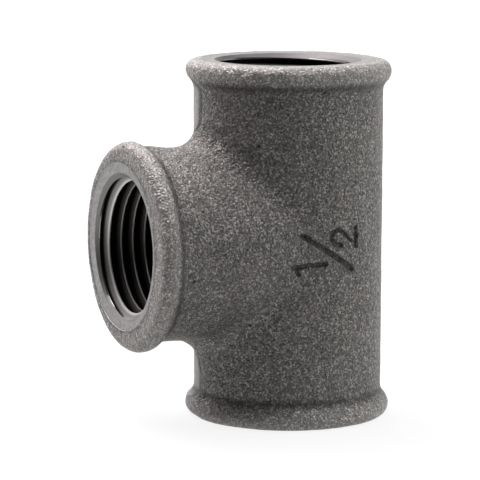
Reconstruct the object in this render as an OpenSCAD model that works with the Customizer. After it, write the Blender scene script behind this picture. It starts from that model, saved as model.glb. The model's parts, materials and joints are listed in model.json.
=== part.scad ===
// Equal pipe tee in black malleable iron: one casting with three threaded ports.
// Sizes are in millimetres. The run stands upright along Z on its lower end face,
// and the branch leaves it along +X at half its height.

/* [Body] */
// Length of the straight run, from end face to end face
run_length = 50.8; // [47:0.1:70]
// Distance from the run's axis to the branch's end face
branch_reach = 25.4; // [23.5:0.1:40]
// Outside diameter of the run between its beads
run_d = 27; // [26.9:0.1:31]
// Outside diameter of the branch behind its bead
branch_d = 26.8; // [25.5:0.1:26.9]
// Radius of the fillet that fills the crotch between run and branch
crotch_round = 3.1; // [1.5:0.1:4]

/* [Beads] */
// How far the bead round each end stands out from the body
bead_rise = 1.1; // [0.6:0.05:2]
// Radius of the bead's outer edge at the end face
bead_edge = 1.4; // [0.8:0.05:2]
// Radius of the two arcs that lead from the body up to the bead's crest
bead_blend = 2; // [1.5:0.05:4]

/* [Ports] */
// Diameter across the crests of the internal pipe thread
thread_bore_d = 18.63; // [17:0.01:19.5]
// Length of the threaded port, from its end face
thread_length = 13; // [10:0.1:14]
// Width of the 45 degree countersink round each port's mouth
mouth_flare = 1.13; // [0.8:0.01:2]
// Wall of the run round its cored passage, behind the threads
run_wall = 2.75; // [2:0.05:3.3]
// Wall of the branch round its cored passage, behind the thread
branch_wall = 2.8; // [2:0.05:3.3]

/* [Hidden] */

run_r = run_d / 2;
branch_r = branch_d / 2;
bore_r = thread_bore_d / 2;
mouth_r = bore_r + mouth_flare;
run_half = run_length / 2;
run_core_r = run_r - run_wall;
branch_core_r = branch_r - branch_wall;
// Angle that each of the bead's two blend arcs turns through
blend_turn = acos(1 - bead_rise / (2 * bead_blend));
// How far the cutting shapes run past the faces that they open
overshoot = 1;
// Flat steps along each arc of an outline
arc_steps = 8;

// The ball that rolls along the crotch touches run and branch, so its centre keeps
// this distance from each axis
ball_from_run = run_r + crotch_round;
ball_from_branch = branch_r + crotch_round;
// How far the rolled fillet bites into the two walls, so that it crosses them cleanly
saddle_bite = 0.03;
// Share of the ball's distance from the centre at which the fillet is rooted in the metal
saddle_root = 0.75;
// Angle round the run, each way from the branch, at which the fillet has run out
saddle_end = 0.96 * asin(min(1, ball_from_branch / ball_from_run));
// Sections along the fillet, and points in each of them
saddle_steps = 36;
section_points = arc_steps + 2;

// Points on an arc from angle a to angle b, without the first one
function arc(centre, r, a, b) =
    [for (i = [1:arc_steps]) centre + r * dir(a + (b - a) * i / arc_steps)];
function dir(a) = [cos(a), sin(a)];
// An outline turned end for end, for the other half of a symmetric run
function flipped(outline) =
    [for (i = [len(outline) - 1:-1:0]) [outline[i].x, -outline[i].y]];

// Outer outline of one end as [radius, distance along the axis], out to the end face:
// a hollow arc off the body, a round arc up to the crest, then the rounded edge
function end_outline(body_r, reach) =
    let (
        crest_r = body_r + bead_rise,
        crest_at = reach - bead_edge,
        neck_at = crest_at - 2 * bead_blend * sin(blend_turn)
    )
    concat(
        [[body_r, neck_at]],
        arc([body_r + bead_blend, neck_at], bead_blend, 180, 180 - blend_turn),
        arc([crest_r - bead_blend, crest_at], bead_blend, -blend_turn, 0),
        arc([crest_r - bead_edge, crest_at], bead_edge, 0, 90)
    );

// Outline of one port's hollow, from the cored passage out past the end face
function port_outline(core_r, reach) = [
    [core_r, reach - thread_length - (core_r - bore_r)],
    [bore_r, reach - thread_length],
    [bore_r, reach - mouth_flare],
    [mouth_r + overshoot, reach + overshoot]
];

// Middle of the rolling ball where it touches the run at angle t from the branch
function ball_y(t) = ball_from_run * sin(t);
function ball_z(t) = sqrt(pow(ball_from_branch, 2) - pow(ball_y(t), 2));
function ball_centre(t) = [ball_from_run * cos(t), ball_y(t), ball_z(t)];
// Directions from each axis to the ball
function from_run(t) = [cos(t), sin(t), 0];
function from_branch(t) = [0, ball_y(t), ball_z(t)] / ball_from_branch;
function between(a, b, share) =
    let (turn = acos(a * b))
    (sin((1 - share) * turn) * a + sin(share * turn) * b) / sin(turn);
// One section of the fillet: its root inside the metal, then the ball's arc from wall to wall
function saddle_section(t) = concat(
    [saddle_root * ball_centre(t)],
    [for (i = [0:arc_steps])
        ball_centre(t)
        - (crotch_round + saddle_bite) * between(from_run(t), from_branch(t), i / arc_steps)]
);

module run_body() {
    outline = end_outline(run_r, run_half);
    rotate_extrude($fn = 96)
        polygon(concat([[0, -run_half]], flipped(outline), outline, [[0, run_half]]));
}

module branch_body() {
    rotate([0, 90, 0])
        rotate_extrude($fn = 96)
            polygon(concat([[0, 0], [branch_r, 0]], end_outline(branch_r, branch_reach),
                           [[0, branch_reach]]));
}

// Fillet over the upper half of the crotch, swept along the path of the rolling ball
module saddle() {
    points = [for (i = [0:saddle_steps])
        each saddle_section(saddle_end * (2 * i / saddle_steps - 1))];
    m = section_points;
    sides = [for (i = [0:saddle_steps - 1], j = [0:m - 1])
        let (a = i * m + j, b = i * m + (j + 1) % m)
        each [[a, b, b + m], [a, b + m, a + m]]];
    first_cap = [for (j = [1:m - 2]) [0, j + 1, j]];
    last = saddle_steps * m;
    last_cap = [for (j = [1:m - 2]) [last, last + j, last + j + 1]];
    polyhedron(points, concat(sides, first_cap, last_cap));
}

module run_hollow() {
    outline = port_outline(run_core_r, run_half);
    end = run_half + overshoot;
    rotate_extrude($fn = 96)
        polygon(concat([[0, -end]], flipped(outline), outline, [[0, end]]));
}

module branch_hollow() {
    rotate([0, 90, 0])
        rotate_extrude($fn = 96)
            polygon(concat([[0, 0], [branch_core_r, 0]],
                           port_outline(branch_core_r, branch_reach),
                           [[0, branch_reach + overshoot]]));
}

module tee_body() {
    color("dimgray")
        translate([0, 0, run_half])
            difference() {
                union() {
                    run_body();
                    branch_body();
                    saddle();
                    mirror([0, 0, 1])
                        saddle();
                }
                run_hollow();
                branch_hollow();
            }
}

tee_body();
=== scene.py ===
"""Looks of a black iron pipe tee: the sand-cast skin with its parting step and size mark, the machined
mouths and the threads."""
import json
import math

import bmesh
import bpy
import numpy as np
from mathutils import Matrix, Vector, noise


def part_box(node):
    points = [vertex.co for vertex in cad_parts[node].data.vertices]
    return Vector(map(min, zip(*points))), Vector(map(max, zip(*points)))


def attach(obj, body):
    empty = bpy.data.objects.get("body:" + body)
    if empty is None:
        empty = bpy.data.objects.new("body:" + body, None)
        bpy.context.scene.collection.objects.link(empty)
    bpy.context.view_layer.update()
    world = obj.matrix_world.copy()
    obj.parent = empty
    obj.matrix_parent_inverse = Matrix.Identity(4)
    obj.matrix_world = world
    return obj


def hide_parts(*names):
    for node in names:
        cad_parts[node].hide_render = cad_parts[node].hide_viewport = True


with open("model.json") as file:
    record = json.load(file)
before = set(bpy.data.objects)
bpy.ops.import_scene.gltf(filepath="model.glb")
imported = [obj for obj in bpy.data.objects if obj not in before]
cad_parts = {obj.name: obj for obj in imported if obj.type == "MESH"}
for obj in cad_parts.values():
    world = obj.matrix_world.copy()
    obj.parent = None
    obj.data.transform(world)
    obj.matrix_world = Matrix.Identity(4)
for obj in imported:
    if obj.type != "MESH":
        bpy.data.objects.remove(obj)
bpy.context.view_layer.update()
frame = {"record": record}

# Sizes, in millimetres about the crossing of the two axes
MM = 0.001
low, high = (Vector(corner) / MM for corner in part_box("tee_body"))
ports = {mount["name"]: mount for mount in frame["record"]["mounts"]}
REACH = high.x
CENTRE = Vector((0, 0, (low.z + high.z) / 2))
BEAD_R = high.y
BODY_R = 13.47
CROTCH_ROUND = 3.1
BEAD_EDGE = 1.4
BEAD_BLEND = 2.0
CORE_R = 10.7

# The pipe thread: half inch, 14 turns to the inch
CREST_R = ports["branch_port"]["dims"]["r_mm"]
PITCH = 25.4 / 14
THREAD_DEPTH = 1.16
THREAD_LENGTH = 13.0
RUN_IN = 0.7
RUN_OUT = 2.0
MOUTH_FLARE = 1.13
MOUTH_R = CREST_R + MOUTH_FLARE

# The two halves of the mould met in the plane of both axes, and the far one sat a little high: by how much,
# and how far either side of the joint the step between them is spread
MOULD_SHIFT = 0.16
JOINT_SPREAD = 1.5

# Where the flash was trimmed off the run, between each bead and the crotch: a smooth strip on the far side
# of the joint, from one height above or below the branch's axis to another, and how far round from the
# branch it begins, along a groove, and ends
TRIM_HEIGHTS = (15.0, 23.0)
TRIM_TURNS = (math.radians(3.6), math.radians(32))
# How far its near edge wavers and over what length, and how soft its near and far edges are
TRIM_WAVER = 0.18
TRIM_WAVE = 1.7
TRIM_EDGES = (0.3, 1.0)
GROOVE_WIDTH = 0.8
GROOVE_DEPTH = 0.2
# How deep the lower strip is cut
TRIM_DEPTH = 0.14

# Webs of flash left at the joint, in the crotch's two corners and in the neck behind the branch's bead: each
# one's middle along the branch and the run, its height and its spread there, and then their place and spread
# across the joint
WEBS = [
    (14.4, 14.4, 0.32, 2.4),
    (15.3, -14.3, 0.9, 2.8),
    (21.1, 13.5, 0.42, 2.0),
]
WEB_Y = -1.5
WEB_WIDTH = 2.5

# How far the branch's bead hangs low, and how much too long the run's upper end is
BEAD_SAG = 0.13
END_RISE = 0.14
# Where the sag begins and is full, and where the mould's shift begins to end and has ended at the upper
# face, as distances from the end
SAG_FADE = (5, 2)
SHIFT_FADE = (1, 0.2)
# Waves in the cast skin: each one's height, size and place in the noise
WAVES = [
    (0.05, 5, (0, 0, 0)),
    (0.03, 1.9, (7, 3, 5)),
    (0.02, 0.9, (2, 9, 4)),
]

# Each end's machined ring (outer radius and the shift of its middle), how far it lies below the bead, the
# shift of the thread's axis, and the depth of a crest at angle 0
UPPER_END = {"ring": (12.2, -0.36, -0.9), "sink": 0.04, "shift": (0.1, -0.05), "start": 1.6}
LOWER_END = {"ring": (11.9, 0, 0), "sink": 0.1, "shift": (0, 0), "start": 1.1}
BRANCH_END = {"ring": (11.8, 0, -1.2), "sink": 0.1, "shift": (0, -0.45), "start": 2.36}
# The small chamfer round the ring, and the place of the row between the bead and the ring, as a share of the
# way
RING_CHAMFER = 0.06
CHAMFER_DROP = 0.02
FACE_SHARE = 0.4

# Mesh steps
HALF_STEPS = 84
SEAM_ANGLE = 0.28
TUBE_ROWS = 44
CORE_ROWS = 8
NECK_STEPS = 8
CREST_STEPS = 7
EDGE_STEPS = 9
# Rows in one turn of the thread, as shares of the pitch from the middle of a crest
THREAD_ROWS = (-0.04, 0.04, 0.17, 0.3, 0.42, 0.58, 0.7, 0.83)
# A row nearer the mouth than this is moved onto it
LEAST_ROW = 0.1
# Half of the flat crest and of the flat root, as shares of the pitch
CREST_SHARE = 0.04
ROOT_SHARE = 0.08
# Points nearer than this are joined, and edges sharper than this many degrees are shaded sharp
WELD = 0.002
SHARP_ANGLE = 38
# How light the thread is painted, from 0 in its roots, painted dark as shade, to 1 on the countersink: its
# crests, lighter for wear and a painted highlight, its flanks near the mouth, given painted light, how deep
# those reach and how fast they brighten from the root
CREST_LIGHT = 0.85
FIRST_FLANK_LIGHT = 0.8
FIRST_FLANK = 2.2
FLANK_GAIN = 10

CAST, MACHINED, THREAD, CORE = range(4)


def half_angles():
    """Angles of half a turn about the branch's side, with two close lines beside the parting plane."""
    angles = np.linspace(-90, 90, HALF_STEPS + 1)
    angles = angles[np.abs(angles) > SEAM_ANGLE]
    return np.radians(np.sort(np.append(angles, (-SEAM_ANGLE, SEAM_ANGLE))))


HALF = half_angles()
FULL = np.concatenate([HALF, HALF[1:] + math.pi])


def stack(x, y, z):
    return np.stack(np.broadcast_arrays(x, y, z), axis=-1)


# The three ends are one end, moved: the run's lower end is its upper end mirrored, and the branch is it with
# X and Z swapped
def upper(points):
    return points


def lower(points):
    return points * (1, 1, -1)


def branch(points):
    return points[..., ::-1]


def lower_branch(points):
    return lower(branch(points))


class Skin:
    """Vertices and faces, gathered grid by grid."""

    def __init__(self):
        self.points = []
        self.polish_and_painted_light = []
        self.faces = []
        self.zones = []

    def grid(self, points, zone, polish_and_painted_light=0.0):
        """Adds a grid of points. Its faces share a zone, and its points share a value of polish and painted
        light or have one each.
        """
        rows, cols = points.shape[:2]
        base = len(self.points)
        self.points.extend(points.reshape(-1, 3).tolist())
        self.polish_and_painted_light.extend(np.broadcast_to(polish_and_painted_light, (rows, cols)).ravel().tolist())
        self.zones.extend([zone] * ((rows - 1) * (cols - 1)))
        for i in range(rows - 1):
            for j in range(cols - 1):
                a = base + i * cols + j
                self.faces.append((a, a + 1, a + cols + 1, a + cols))


def crotch_half(r, fillet, length, rows):
    """The run's half that faces the branch, from the middle of the crotch's fillet up to a given height."""
    cos, sin = np.cos(HALF), np.sin(HALF)
    from_run = stack(cos, sin, 0)
    from_branch = stack(0, sin, cos)
    ball = (r + fillet) * stack(cos, sin, cos)
    turn = np.arccos(np.clip(sin**2, -1, 1))
    arc = fillet * turn / 2
    tangent = (r + fillet) * cos
    way = np.linspace(0, 1, rows + 1)[:, None] * (arc + length - tangent)
    share = np.clip(0.5 * (1 - way / np.maximum(arc, 1e-9)), 0, 0.5)
    spread = np.maximum(np.sin(turn), 1e-9)
    near_run = np.where(turn < 1e-6, 1, np.sin((1 - share) * turn) / spread)
    near_branch = np.where(turn < 1e-6, 0, np.sin(share * turn) / spread)
    rolled = ball - fillet * (near_run[..., None] * from_run + near_branch[..., None] * from_branch)
    wall = stack(r * cos, r * sin, tangent + np.maximum(way - arc, 0))
    return np.where((way < arc)[..., None], rolled, wall)


def back_half(r, length, rows):
    """The run's half that faces away from the branch, from the middle up to a given height."""
    heights = np.linspace(0, length, rows + 1)[:, None]
    return stack(-r * np.cos(HALF), -r * np.sin(HALF), heights)


def tubes(skin, r, fillet, length, rows, zone):
    """The three tubes of a tee, joined at the crotch."""
    facing = crotch_half(r, fillet, length, rows)
    away = back_half(r, length, rows)
    for place in (upper, lower, branch, lower_branch):
        skin.grid(place(facing), zone)
    for place in (upper, lower):
        skin.grid(place(away), zone)


def arc_points(centre, r, a, b, steps):
    """Points on an arc from a to b degrees, without its first."""
    angles = np.radians(np.linspace(a, b, steps + 1))[1:]
    return [(centre[0] + r * math.cos(t), centre[1] + r * math.sin(t)) for t in angles]


def bead_outline():
    """Radius and distance along the axis, from the neck behind the bead out to the end face."""
    rise = BEAD_R - BODY_R
    crest_at = REACH - BEAD_EDGE
    turn = math.degrees(math.acos(1 - rise / (2 * BEAD_BLEND)))
    neck_at = crest_at - 2 * BEAD_BLEND * math.sin(math.radians(turn))
    return [
        (BODY_R, neck_at),
        *arc_points((BODY_R + BEAD_BLEND, neck_at), BEAD_BLEND, 180, 180 - turn, NECK_STEPS),
        *arc_points((BEAD_R - BEAD_BLEND, crest_at), BEAD_BLEND, -turn, 0, CREST_STEPS),
        *arc_points((BEAD_R - BEAD_EDGE, crest_at), BEAD_EDGE, 0, 90, EDGE_STEPS),
    ]


def lathe(outline, shift=(0, 0)):
    """Rings about the upper end's axis. Each outline point is its radius, its distance along the axis and
    its share of the shift."""
    rings = [
        stack(r * np.cos(FULL) + share * shift[0], r * np.sin(FULL) + share * shift[1], along)
        for r, along, share in outline
    ]
    return np.array(rings)


def thread_form(share):
    """How deep the groove is, from 0 on a crest to 1 at a root, at a share of the pitch from the crest."""
    from_crest = np.abs((share + 0.5) % 1 - 0.5)
    return np.clip((from_crest - CREST_SHARE) / (0.5 - ROOT_SHARE - CREST_SHARE), 0, 1)


def thread(start, hand, shift, sink):
    """A port's countersink and thread, on rows that follow the helix. Gives the points and how light each is
    painted: painted shade in the roots, wear and a painted highlight on the crests, painted light on the
    flanks near the mouth."""
    first = math.floor(-start / PITCH) - 1
    last = math.ceil((THREAD_LENGTH - start) / PITCH) + 1
    turns = np.array([k + share for k in range(first, last) for share in THREAD_ROWS])[:, None]
    depth = start + PITCH * (turns - hand * FULL / (2 * math.pi))
    depth = np.where(depth < sink + LEAST_ROW, sink, np.minimum(depth, THREAD_LENGTH))
    fade = np.clip(np.minimum((depth - sink) / RUN_IN, (THREAD_LENGTH - depth) / RUN_OUT), 0, 1)
    cut = CREST_R + THREAD_DEPTH * thread_form(turns) * fade
    flare = MOUTH_R - (depth - sink)
    r = np.maximum(cut, flare)
    points = stack(r * np.cos(FULL) + shift[0], r * np.sin(FULL) + shift[1], REACH - depth)
    # Painted shade in the roots, a painted highlight with wear on the crests, and painted light on the
    # flanks near the mouth
    polish_and_painted_light = CREST_LIGHT * np.clip(1 - (r - CREST_R) / THREAD_DEPTH, 0, 1)
    lit_first_flank = np.minimum(FLANK_GAIN * polish_and_painted_light, FIRST_FLANK_LIGHT)
    polish_and_painted_light = np.where(depth < sink + FIRST_FLANK, np.maximum(polish_and_painted_light, lit_first_flank), polish_and_painted_light)
    return points, np.where(flare >= cut, 1, polish_and_painted_light)


def end(skin, place, hand, ring, sink, shift, start):
    """One end of the fitting: bead, machined ring that lies a little below it, countersink, thread and its
    shoulder. hand is 1, or -1 where the place mirrors the end."""
    ring_r, *ring_shift = ring
    bead = [(r, along, 0) for r, along in bead_outline()]
    face_r = bead[-1][0]
    chamfer = (ring_r + RING_CHAMFER, REACH - CHAMFER_DROP, 1)
    bead += [((1 - FACE_SHARE) * face_r + FACE_SHARE * ring_r, REACH, FACE_SHARE), chamfer]
    rings = [
        lathe([chamfer, (ring_r, REACH - sink, 1)], ring_shift),
        lathe([(MOUTH_R, REACH - sink, 1)], shift),
    ]
    shoulder_at = REACH - THREAD_LENGTH
    shoulder = [
        (CREST_R, shoulder_at, 1),
        (CORE_R, shoulder_at - (CORE_R - CREST_R), 0),
    ]
    skin.grid(place(lathe(bead, ring_shift)), CAST)
    # The ring's inner edge is shared with the countersink, so it has the countersink's value of polish and
    # painted light
    ring_polish_and_light = np.array([[0], [0], [1]])
    skin.grid(place(np.concatenate(rings)), MACHINED, ring_polish_and_light)
    points, polish_and_painted_light = thread(start, hand, shift, sink)
    skin.grid(place(points), THREAD, polish_and_painted_light)
    skin.grid(place(lathe(shoulder, shift)), CORE)


def upper_end(points):
    """The run's upper end, which was faced off a little long."""
    neck_at = bead_outline()[0][1]
    share = np.clip((points[..., 2] - neck_at) / (REACH - neck_at), 0, 1)
    return points + stack(0, 0, END_RISE * share)


def tee_mesh():
    """The skin of the whole fitting, inside and out, as grids that are not joined yet."""
    skin = Skin()
    tubes(skin, BODY_R, CROTCH_ROUND, bead_outline()[0][1], TUBE_ROWS, CAST)
    tubes(skin, CORE_R, 0, REACH - THREAD_LENGTH - (CORE_R - CREST_R), CORE_ROWS, CORE)
    end(skin, upper_end, 1, **UPPER_END)
    end(skin, lower, -1, **LOWER_END)
    end(skin, branch, -1, **BRANCH_END)
    mesh = bpy.data.meshes.new("tee_casting")
    points = (np.array(skin.points) + np.array(CENTRE)) * MM
    mesh.from_pydata(points.tolist(), [], skin.faces)
    mesh.polygons.foreach_set("material_index", skin.zones)
    mesh.attributes.new("polish_and_painted_light", "FLOAT", "POINT").data.foreach_set("value", skin.polish_and_painted_light)
    return mesh


# The size mark on the run's +Y side: its depth, the width of its strokes' walls, half its field's width and
# height, and each stroke's width and points, as distance towards the branch and height above its axis
MARK_DEPTH = 0.4
MARK_WALL = 0.22
MARK_HALF = (6.6, 4.6)
MARK_STROKES = [
    (0.55, [(4.6, -3.2), (5.1, -2.25)]),
    (0.66, [(5.3, -2.2), (0.7, -2.0)]),
    (0.78, [(4.1, 2.2), (-3.75, -2.9)]),
    (0.62, [(-1.9, 0.5), (-0.8, 0.75), (-0.2, 1.55), (-0.5, 2.5), (-1.4, 2.75), (-2.4, 2.15)]),
    (0.4, [(-2.4, 2.15), (-3.6, 1.05)]),
    (0.72, [(-4.55, 0.3), (-4.5, 2.75)]),
]
MARK_CUTS = 3


def mark_place(co):
    """A point's place in the mark's plane, in millimetres, or None if it is on another side."""
    p = co / MM - CENTRE
    if p.y < BODY_R / 2:
        return None
    place = math.atan2(p.x, p.y) * BODY_R, p.z
    return place if abs(place[0]) < MARK_HALF[0] and abs(place[1]) < MARK_HALF[1] else None


def stroke_edge(place):
    """How far a place in the mark's plane is inside the edge of the nearest stroke."""
    p = np.array(place)
    best = -math.inf
    for width, stroke in MARK_STROKES:
        for a, b in zip(stroke, stroke[1:]):
            a, b = np.array(a), np.array(b)
            share = np.clip((p - a) @ (b - a) / ((b - a) @ (b - a)), 0, 1)
            best = max(best, width / 2 - float(np.hypot(*(p - a - share * (b - a)))))
    return best


def mark_relief(co):
    """How far the skin lies out at the mark: below 0 in its strokes."""
    place = mark_place(co)
    if place is None:
        return 0.0
    return -MARK_DEPTH * smooth_step(-MARK_WALL / 2, MARK_WALL / 2, stroke_edge(place))


def smooth_step(low_edge, high_edge, value):
    """Goes smoothly from 0 at the low edge to 1 at the high one."""
    share = min(max((value - low_edge) / (high_edge - low_edge), 0), 1)
    return share * share * (3 - 2 * share)


def trim_place(co):
    """A point's place on a trimmed strip: the way round from its near edge in millimetres, and the strip's
    strength there, from 1 in its middle to 0 at its ends."""
    p = co / MM - CENTRE
    if p.x < BODY_R / 2:
        return 0.0, 0.0
    middle = sum(TRIM_HEIGHTS) / 2
    reach = (TRIM_HEIGHTS[1] - TRIM_HEIGHTS[0]) / 2
    from_middle = min(abs(abs(p.z) - middle) / reach, 1)
    strength = 1 - from_middle**4
    waver = TRIM_WAVER * noise.noise(Vector((0, 0, p.z / TRIM_WAVE)))
    near_edge = TRIM_TURNS[0] + (1 - strength) * (TRIM_TURNS[1] - TRIM_TURNS[0]) / 2
    return (math.atan2(-p.y, p.x) - near_edge) * BODY_R + waver, strength


def trim_shape(co):
    """1 on the trimmed strip, 0 off it."""
    along, strength = trim_place(co)
    width = (TRIM_TURNS[1] - TRIM_TURNS[0]) * BODY_R
    near, far = TRIM_EDGES
    return strength * smooth_step(0, near, along) * smooth_step(0, far, width - along)


def groove_shape(co):
    """1 along the trimmed strip's near edge, 0 a little off it."""
    along, strength = trim_place(co)
    return min(2 * strength, 1) * max(1 - abs(along + GROOVE_WIDTH / 3) / GROOVE_WIDTH, 0)


def web_relief(co):
    """How far the webs of flash stand out."""
    p = co / MM - CENTRE
    across = ((p.y - WEB_Y) / WEB_WIDTH) ** 2
    return sum(
        height * math.exp(-((p.x - x) ** 2 + (p.z - z) ** 2) / spread**2 - across)
        for x, z, height, spread in WEBS
    )


# How dark the painted shade is: in the strokes of the mark, in the groove beside the trimmed strip and in a
# line behind each bead. That line behind each bead: how far it spreads, and how far behind the bead's crest
# it lies, as a share of the bead's blend
MARK_SHADE = 0.62
GROOVE_SHADE = 0.9
NECK_SHADE = 0.7
NECK_WIDTH = 0.8
NECK_SHARE = 0.8
LOWER_NECK_SHARE = 1.15


def neck_shape(co):
    """1 along the line where a bead turns into its neck, where shade is painted, 0 off it."""
    p = co / MM - CENTRE
    share = NECK_SHARE if p.z > -BODY_R else LOWER_NECK_SHARE
    line_at = REACH - BEAD_EDGE - BEAD_BLEND * share
    return max(1 - abs(max(p.x, abs(p.z)) - line_at) / NECK_WIDTH, 0)


def painted_shade(co):
    """How dark the skin is painted with shade: in the strokes of the mark, beside the trimmed strips and
    behind the beads.
    """
    in_mark = -mark_relief(co) / MARK_DEPTH
    return max(MARK_SHADE * in_mark, GROOVE_SHADE * groove_shape(co), NECK_SHADE * neck_shape(co))


def bead_wear_and_sheen(co):
    """1 on the beads, whose rounds are lighter for rubbed wear and for a painted highlight, and 0 from their
    necks on.
    """
    p = co / MM - CENTRE
    return smooth_step(REACH - BEAD_EDGE - BEAD_BLEND, REACH - BEAD_EDGE, max(p.x, abs(p.z)))


def joint_relief(co, normal):
    """How far the shift between the mould's halves, and the sag of the branch's bead, move the skin out."""
    lift = MOULD_SHIFT * smooth_step(-JOINT_SPREAD, JOINT_SPREAD, -co.y / MM)
    lift *= 1 - smooth_step(REACH - SHIFT_FADE[0], REACH - SHIFT_FADE[1], co.z / MM - CENTRE.z)
    if normal.z < 0:
        lift -= (lift + BEAD_SAG) * smooth_step(REACH - SAG_FADE[0], REACH - SAG_FADE[1], co.x / MM)
    return normal.z * lift


def cast_relief(co, normal):
    """How far the cast skin stands off its true form, in millimetres: waves, parting step, webs, mark and
    trimmed strips."""
    p = co / MM
    relief = sum(height * noise.noise(p / size + Vector(place)) for height, size, place in WAVES)
    relief += joint_relief(co, normal) + web_relief(co) + mark_relief(co)
    if co.z / MM < CENTRE.z:
        relief -= TRIM_DEPTH * trim_shape(co)
    return relief - GROOVE_DEPTH * groove_shape(co)


def dress_casting(mesh):
    """Joins the grids into one closed skin, refines it under the mark and gives it the casting's relief."""
    bm = bmesh.new()
    bm.from_mesh(mesh)
    shade_layer = bm.verts.layers.float.new("painted_shade")
    wear_sheen_layer = bm.verts.layers.float.new("wear_and_sheen")
    bmesh.ops.remove_doubles(bm, verts=bm.verts, dist=WELD * MM)
    bmesh.ops.recalc_face_normals(bm, faces=bm.faces)
    # A dict and not a set, so that the edges keep the same order in each run
    under_mark = dict.fromkeys(
        edge
        for face in bm.faces
        if face.material_index == CAST and mark_place(face.calc_center_median())
        for edge in face.edges
    )
    bmesh.ops.subdivide_edges(bm, edges=list(under_mark), cuts=MARK_CUTS, use_grid_fill=True)
    bm.normal_update()
    cast = [v for v in bm.verts if all(f.material_index == CAST for f in v.link_faces)]
    polish_light_layer = bm.verts.layers.float["polish_and_painted_light"]
    for v in cast:
        # On the skin: the trimmed strip, lighter as ground metal and as a painted highlight
        v[polish_light_layer] = trim_shape(v.co)
        # Painted shade in the mark's strokes, beside the trimmed strip and behind the beads
        v[shade_layer] = painted_shade(v.co)
        v[wear_sheen_layer] = bead_wear_and_sheen(v.co)
    moves = [v.normal * (cast_relief(v.co, v.normal) * MM) for v in cast]
    for v, move in zip(cast, moves):
        v.co += move
        # Nothing reaches below the face that the fitting stands on
        v.co.z = max(v.co.z, low.z * MM)
    for face in bm.faces:
        face.smooth = True
    bm.to_mesh(mesh)
    bm.free()
    mesh.set_sharp_from_angle(angle=math.radians(SHARP_ANGLE))


# Materials. The skin's relief: the sizes of its sand grains and dimples, the dimples' share and the depth of
# both, and the size and depth of its lumps
GRAIN = 0.26
DIMPLES = 0.34
DIMPLE_SHARE = 0.5
GRAIN_DEPTH = 0.24
LUMPS = 1.1
LUMP_DEPTH = 0.25
# Its speckle: sizes of the grains, the blotches and the clouds, and the shares of the larger ones
SPECKLE = 0.21
BLOTCH = 0.5
CLOUD = 5.0
BLOTCH_SHARE = 0.4
CLOUD_SHARE = 0.3
# How light the skin is, as a share of its colour, at values of the speckle's noise
SPECKLE_SHARES = ((0.3, 0.46), (0.5, 0.88), (0.6, 1.2), (0.75, 2.5))
# How rough it is, at values of the grain
SKIN_ROUGHNESS = ((0.4, 0.52), (0.68, 0.4))
SKIN_SPECULAR = 0.3
# The blowholes, painted as dark spots of shade where the surface has no pits: how far apart they are, and
# their inner and outer edge as shares of that. Their colour is also the painted shade in the skin's recesses
BLOWHOLES = 4.5
HOLE_EDGES = (0.04, 0.07)
SHADE_COLOUR = (0.03, 0.029, 0.028)
SKIN_COLOUR = (0.24, 0.23, 0.219)
# The cored passage inside is painted near black: painted shade inside the fitting
CORE_SHADE_COLOUR = (0.04, 0.039, 0.038)
CAST_METALLIC = 0.3
# The trimmed strip's colour: lighter as ground metal, and partly a painted highlight for the light its flat
# face catches
TRIM_COLOUR = (0.5, 0.49, 0.48)
# How much lighter the beads are than the rest of the skin, for rubbed wear and for a painted highlight, and
# how far they are turned to an even light colour
WEAR_SHEEN_GAIN = 1.55
WEAR_SHEEN_SHARE = 0.25
WEAR_SHEEN_COLOUR = (0.56, 0.54, 0.53)
# The cut metal: its roughness, and the depth of its tool marks and their sizes on the rings and the threads
CUT_ROUGHNESS = 0.5
TOOL_DEPTH = 0.02
RING_MARKS = 0.5
THREAD_MARKS = 0.3
# The rings' dark and light, and the values of the tool marks' noise where they are reached
RING_COLOURS = [(0.26, 0.256, 0.252), (0.4, 0.393, 0.387)]
RING_STOPS = (0.35, 0.65)
# The thread's root, painted dark as shade, flank, crest, lighter for wear and a painted highlight, and
# countersink. The flank lasts between two values of the polish and painted light
ROOT_SHADE_COLOUR = (0.012, 0.011, 0.01)
FLANK_COLOUR = (0.1, 0.092, 0.086)
CREST_HIGHLIGHT_COLOUR = (0.75, 0.735, 0.72)
SINK_COLOUR = (0.2, 0.197, 0.194)
ROOT_STOP = 0.25
FLANK_STOPS = (0.62, 0.78)
SINK_STOP = 0.87


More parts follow.
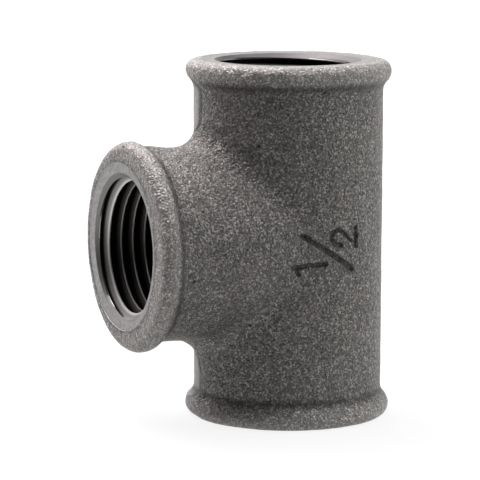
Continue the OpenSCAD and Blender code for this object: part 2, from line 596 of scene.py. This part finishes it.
class Nodes:
    """The node tree of a material, or of the world, with short calls to add and join nodes."""

    def __init__(self, name, owners=bpy.data.materials, shader="Principled BSDF"):
        self.material = owners.new(name)
        self.material.use_nodes = True
        self.tree = self.material.node_tree
        self.shader = self.tree.nodes[shader]

    def add(self, kind, **values):
        node = self.tree.nodes.new(kind)
        for name, value in values.items():
            setattr(node, name, value)
        return node

    def join(self, source, target):
        self.tree.links.new(source, target)

    def place(self):
        return self.add("ShaderNodeTexCoord").outputs["Object"]

    def noise(self, size_mm, detail=3.0, rough=0.55):
        """Noise whose grains are about size_mm across."""
        node = self.add("ShaderNodeTexNoise")
        node.inputs["Scale"].default_value = 1 / (size_mm * MM)
        node.inputs["Detail"].default_value = detail
        node.inputs["Roughness"].default_value = rough
        self.join(self.place(), node.inputs["Vector"])
        return node.outputs["Fac"]

    def dimples(self, size_mm):
        """Round dimples with sharp ridges between them, about size_mm across."""
        node = self.add("ShaderNodeTexVoronoi")
        node.inputs["Scale"].default_value = 1 / (size_mm * MM)
        self.join(self.place(), node.inputs["Vector"])
        return node.outputs["Distance"]

    def grains(self, size_mm):
        """Grains about size_mm across, each of its own grey."""
        node = self.add("ShaderNodeTexVoronoi")
        node.inputs["Scale"].default_value = 1 / (size_mm * MM)
        self.join(self.place(), node.inputs["Vector"])
        return node.outputs["Color"]

    def math(self, operation, first, second):
        node = self.add("ShaderNodeMath", operation=operation)
        self.join(first, node.inputs[0])
        self.join(second, node.inputs[1])
        return node.outputs[0]

    def mix(self, share, first, second):
        node = self.add("ShaderNodeMix", data_type="FLOAT")
        node.inputs["Factor"].default_value = share
        self.join(first, node.inputs["A"])
        self.join(second, node.inputs["B"])
        return node.outputs["Result"]

    def attribute(self, name):
        return self.add("ShaderNodeAttribute", attribute_name=name).outputs["Fac"]

    def tint(self, share, colour, other):
        """A colour turned towards another one by a share that varies."""
        node = self.add("ShaderNodeMix", data_type="RGBA")
        self.join(share, node.inputs["Factor"])
        self.join(colour, node.inputs["A"])
        node.inputs["B"].default_value = (*other, 1)
        return node.outputs["Result"]

    def scaled(self, colour, share, gain):
        """A colour made lighter by a gain where the share is 1, and left as it is where it is 0."""
        factor = self.add("ShaderNodeMapRange")
        factor.inputs["To Min"].default_value = 1
        factor.inputs["To Max"].default_value = gain
        self.join(share, factor.inputs["Value"])
        node = self.add("ShaderNodeVectorMath", operation="SCALE")
        self.join(colour, node.inputs[0])
        self.join(factor.outputs["Result"], node.inputs["Scale"])
        return node.outputs[0]

    def ramp(self, source, stops):
        node = self.add("ShaderNodeValToRGB")
        ramp = node.color_ramp
        while len(ramp.elements) < len(stops):
            ramp.elements.new(0.5)
        for element, (position, colour) in zip(ramp.elements, stops):
            element.position = position
            element.color = (*colour, 1) if len(colour) == 3 else (colour[0],) * 3 + (1,)
        self.join(source, node.inputs["Fac"])
        return node.outputs["Color"]

    def bump(self, height, depth_mm, below=None):
        """A normal that follows a height, over another normal if there is one below."""
        node = self.add("ShaderNodeBump")
        node.inputs["Strength"].default_value = 1
        node.inputs["Distance"].default_value = depth_mm * MM
        self.join(height, node.inputs["Height"])
        if below is not None:
            self.join(below, node.inputs["Normal"])
        return node.outputs["Normal"]

    def along(self, place, direction):
        """How far a place lies along a direction."""
        node = self.add("ShaderNodeVectorMath", operation="DOT_PRODUCT")
        node.inputs[1].default_value = direction
        self.join(place, node.inputs[0])
        return node.outputs["Value"]

    def fade(self, source, start, stop, first, last):
        """A value that goes smoothly from first to last while the source goes from start to stop."""
        node = self.add("ShaderNodeMapRange", interpolation_type="SMOOTHSTEP")
        node.inputs["From Min"].default_value = start
        node.inputs["From Max"].default_value = stop
        node.inputs["To Min"].default_value = first
        node.inputs["To Max"].default_value = last
        self.join(source, node.inputs["Value"])
        return node.outputs["Result"]

    def seen(self, share):
        """1 to the camera, a share in reflections and 0 to other light."""
        path = self.add("ShaderNodeLightPath")
        mirrored = self.math("MAXIMUM", path.outputs["Is Glossy Ray"], path.outputs["Is Transmission Ray"])
        mirrored = self.math("MULTIPLY", mirrored, share)
        return self.math("MAXIMUM", path.outputs["Is Camera Ray"], mirrored)


def cast_material(name, colour):
    """Sand-cast skin: a speckled dark oxide with sand dimples, a few blowholes painted as dark spots of
    shade, painted shade in its recesses, and beads lighter for wear and a painted highlight.
    """
    n = Nodes(name)
    blotches = n.mix(CLOUD_SHARE, n.noise(BLOTCH, detail=2, rough=0.6), n.noise(CLOUD, detail=2))
    speckle = n.mix(BLOTCH_SHARE, n.grains(SPECKLE), blotches)
    skin = n.ramp(speckle, [(at, tuple(share * c for c in colour)) for at, share in SPECKLE_SHARES])
    # Blowholes: dark spots of painted shade
    hole_shade = n.ramp(n.dimples(BLOWHOLES), [(HOLE_EDGES[0], (1.0,)), (HOLE_EDGES[1], (0.0,))])
    skin = n.tint(hole_shade, skin, SHADE_COLOUR)
    # The trimmed strip: lighter as ground metal and as a painted highlight
    skin = n.tint(n.attribute("polish_and_painted_light"), skin, TRIM_COLOUR)
    # The beads: lighter for rubbed wear and for a painted highlight
    wear_and_sheen = n.attribute("wear_and_sheen")
    skin = n.scaled(skin, wear_and_sheen, WEAR_SHEEN_GAIN)
    skin = n.tint(n.ramp(wear_and_sheen, [(0, (0.0,)), (1, (WEAR_SHEEN_SHARE,))]), skin, WEAR_SHEEN_COLOUR)
    # Painted shade: the mark's strokes, the groove beside the trimmed strip and the line behind each bead
    # are darkened
    skin = n.tint(n.attribute("painted_shade"), skin, SHADE_COLOUR)
    n.join(skin, n.shader.inputs["Base Color"])
    grain = n.mix(DIMPLE_SHARE, n.noise(GRAIN, detail=1, rough=0.4), n.dimples(DIMPLES))
    roughness = n.ramp(grain, [(at, (rough,)) for at, rough in SKIN_ROUGHNESS])
    n.join(roughness, n.shader.inputs["Roughness"])
    n.shader.inputs["Metallic"].default_value = CAST_METALLIC
    n.shader.inputs["Specular IOR Level"].default_value = SKIN_SPECULAR
    coarse = n.bump(n.noise(LUMPS, detail=0), LUMP_DEPTH)
    n.join(n.bump(grain, GRAIN_DEPTH, below=coarse), n.shader.inputs["Normal"])
    return n.material


def cut_material(name, marks, source, stops):
    """Metal cut bright, with fine tool marks. Its colour follows a source, or the tool marks themselves."""
    n = Nodes(name)
    fine = n.noise(marks, detail=3)
    colour = n.ramp(n.attribute(source) if source else fine, stops)
    n.join(colour, n.shader.inputs["Base Color"])
    n.shader.inputs["Metallic"].default_value = 1.0
    n.shader.inputs["Roughness"].default_value = CUT_ROUGHNESS
    n.join(n.bump(fine, TOOL_DEPTH), n.shader.inputs["Normal"])
    return n.material


def ring_material():
    return cut_material("machined_ring", RING_MARKS, None, list(zip(RING_STOPS, RING_COLOURS)))


def thread_material():
    """Roots painted dark as shade, flanks painted lighter towards the crest, crests lighter for wear and a
    painted highlight, and a grey countersink.
    """
    stops = [
        (ROOT_STOP, ROOT_SHADE_COLOUR),
        (FLANK_STOPS[0], FLANK_COLOUR),
        (FLANK_STOPS[1], FLANK_COLOUR),
        (CREST_LIGHT, CREST_HIGHLIGHT_COLOUR),
        (SINK_STOP, SINK_COLOUR),
    ]
    return cut_material("cut_thread", THREAD_MARKS, "polish_and_painted_light", stops)


mesh = tee_mesh()
dress_casting(mesh)
tee = bpy.data.objects.new("tee_casting", mesh)
bpy.context.collection.objects.link(tee)
# In the order of the zones
mesh.materials.append(cast_material("cast_skin", SKIN_COLOUR))
mesh.materials.append(ring_material())
mesh.materials.append(thread_material())
mesh.materials.append(cast_material("cored_passage", CORE_SHADE_COLOUR))
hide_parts("tee_body")
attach(tee, "root")


# Stage: a round floor, a hair below the object
FLOOR_RADIUS = 4000
FLOOR_SIDES = 96
FLOOR_DROP = 0.03
FLOOR_GREY = 0.15
FLOOR_ROUGHNESS = 0.9
# The floor's own white, seen by the camera and in the metal: near the object, where its shadow lies, and far
# from it, and the distances between which it changes
FLOOR_GLOW = 0.85
FAR_GLOW = 1
FLOOR_NEAR = 40
FLOOR_FAR = 200
# How far in front of the object its white floor begins to end, and has ended, in reflections, and how far
# that front is turned to the right of the camera
FLOOR_FRONT = (60, 160)
FRONT_TURN = math.radians(20)


def stage_floor(right, towards):
    """A dull floor that looks white to the camera and, but for its front, in reflections."""
    bpy.ops.mesh.primitive_circle_add(
        vertices=FLOOR_SIDES, radius=FLOOR_RADIUS * MM, fill_type="NGON", location=(0, 0, -FLOOR_DROP * MM)
    )
    floor = bpy.context.object
    floor.name = "floor"
    n = Nodes("pale_floor")
    n.shader.inputs["Base Color"].default_value = (FLOOR_GREY, FLOOR_GREY, FLOOR_GREY, 1)
    n.shader.inputs["Roughness"].default_value = FLOOR_ROUGHNESS
    n.shader.inputs["Emission Color"].default_value = (1, 1, 1, 1)
    away = n.add("ShaderNodeVectorMath", operation="LENGTH")
    n.join(n.place(), away.inputs[0])
    white = n.fade(away.outputs["Value"], FLOOR_NEAR * MM, FLOOR_FAR * MM, FLOOR_GLOW, FAR_GLOW)
    front = towards * math.cos(FRONT_TURN) + right * math.sin(FRONT_TURN)
    share = n.fade(n.along(n.place(), front), FLOOR_FRONT[0] * MM, FLOOR_FRONT[1] * MM, 1, 0)
    n.join(n.math("MULTIPLY", n.seen(share), white), n.shader.inputs["Emission Strength"])
    floor.data.materials.append(n.material)


# Camera, fitted to the photograph: its turn about the object, its rise and roll, its distance, how far aside
# and up it aims, and its lens
VIEW_TURN = math.radians(64.88)
VIEW_RISE = math.radians(8.65)
VIEW_ROLL = math.radians(0.21)
VIEW_DISTANCE = 406.1
VIEW_AIM = (-6.806, -0.462)
LENS = 212.66
SENSOR = 36
CLIP_START = 10


def view_camera():
    """Sets the camera, and gives the level direction to its right and the direction back to it."""
    back = Vector((math.cos(VIEW_TURN), math.sin(VIEW_TURN), 0)) * math.cos(VIEW_RISE)
    back.z = math.sin(VIEW_RISE)
    level = Vector((-math.sin(VIEW_TURN), math.cos(VIEW_TURN), 0))
    upright = back.cross(level)
    right = level * math.cos(VIEW_ROLL) + upright * math.sin(VIEW_ROLL)
    up = upright * math.cos(VIEW_ROLL) - level * math.sin(VIEW_ROLL)
    eye = CENTRE + level * VIEW_AIM[0] + Vector((0, 0, VIEW_AIM[1])) + back * VIEW_DISTANCE
    data = bpy.data.cameras.new("view")
    data.sensor_fit = "HORIZONTAL"
    data.sensor_width = SENSOR
    data.lens = LENS
    data.clip_start = CLIP_START * MM
    camera = bpy.data.objects.new("view", data)
    camera.matrix_world = Matrix.Translation(eye * MM) @ Matrix((right, up, back)).transposed().to_4x4()
    bpy.context.collection.objects.link(camera)
    bpy.context.scene.camera = camera
    return level, back


# Lights: name, degrees round from the camera to its right, degrees above the table, size in millimetres,
# watts and colour
LIGHT_DISTANCE = 650
WHITE = (1, 1, 1)
ROSE = (1, 0.93, 0.95)
LILAC = (0.98, 0.96, 1)
LIGHTS = [
    ("left_back_box", -135, 45, 800, 2.75, ROSE),
    ("left_back_high_box", -135, 70, 600, 2.1, ROSE),
    ("top_box", 0, 90, 1100, 1.6, LILAC),
    ("left_high_box", -90, 70, 600, 0.95, WHITE),
    ("right_box", 90, 45, 600, 1.3, WHITE),
    ("right_low_box", 90, 12, 600, 0.6, WHITE),
    ("front_low_box", 60, 12, 600, 0.28, WHITE),
]


def studio_lights(right, towards):
    """Round soft lamps that the camera doesn't see, all at the same distance."""
    towards = Vector((towards.x, towards.y, 0)).normalized()
    for name, turn, height, size, power, colour in LIGHTS:
        turn, height = math.radians(turn), math.radians(height)
        level = towards * math.cos(turn) + right * math.sin(turn)
        direction = level * math.cos(height) + Vector((0, 0, math.sin(height)))
        data = bpy.data.lights.new(name, "AREA")
        data.shape = "DISK"
        data.size = size * MM
        data.energy = power
        data.color = colour
        lamp = bpy.data.objects.new(name, data)
        lamp.visible_camera = False
        lamp.location = (CENTRE + direction * LIGHT_DISTANCE) * MM
        lamp.rotation_euler = direction.to_track_quat("Z", "Y").to_euler()
        bpy.context.collection.objects.link(lamp)


# The dim room round the object, and the white backdrop behind it: its edges, as cosines from straight behind
ROOM = 0.01
BACKDROP = 1.0
BACKDROP_EDGES = (0.5, 0.75)


def studio_world(towards):
    """White to the camera. In reflections a white backdrop stands behind the object, in a dim room."""
    n = Nodes("studio", bpy.data.worlds, "Background")
    bpy.context.scene.world = n.material
    way = n.add("ShaderNodeTexCoord").outputs["Generated"]
    share = n.fade(n.along(way, -towards), *BACKDROP_EDGES, 0, 1)
    strength = n.add("ShaderNodeMapRange")
    strength.inputs["To Min"].default_value = ROOM
    strength.inputs["To Max"].default_value = BACKDROP
    n.join(n.seen(share), strength.inputs["Value"])
    n.shader.inputs["Color"].default_value = (1, 1, 1, 1)
    n.join(strength.outputs["Result"], n.shader.inputs["Strength"])


view_right, view_back = view_camera()
stage_floor(view_right, view_back)
studio_lights(view_right, view_back)
studio_world(view_back)
bpy.context.scene.view_settings.view_transform = "Standard"
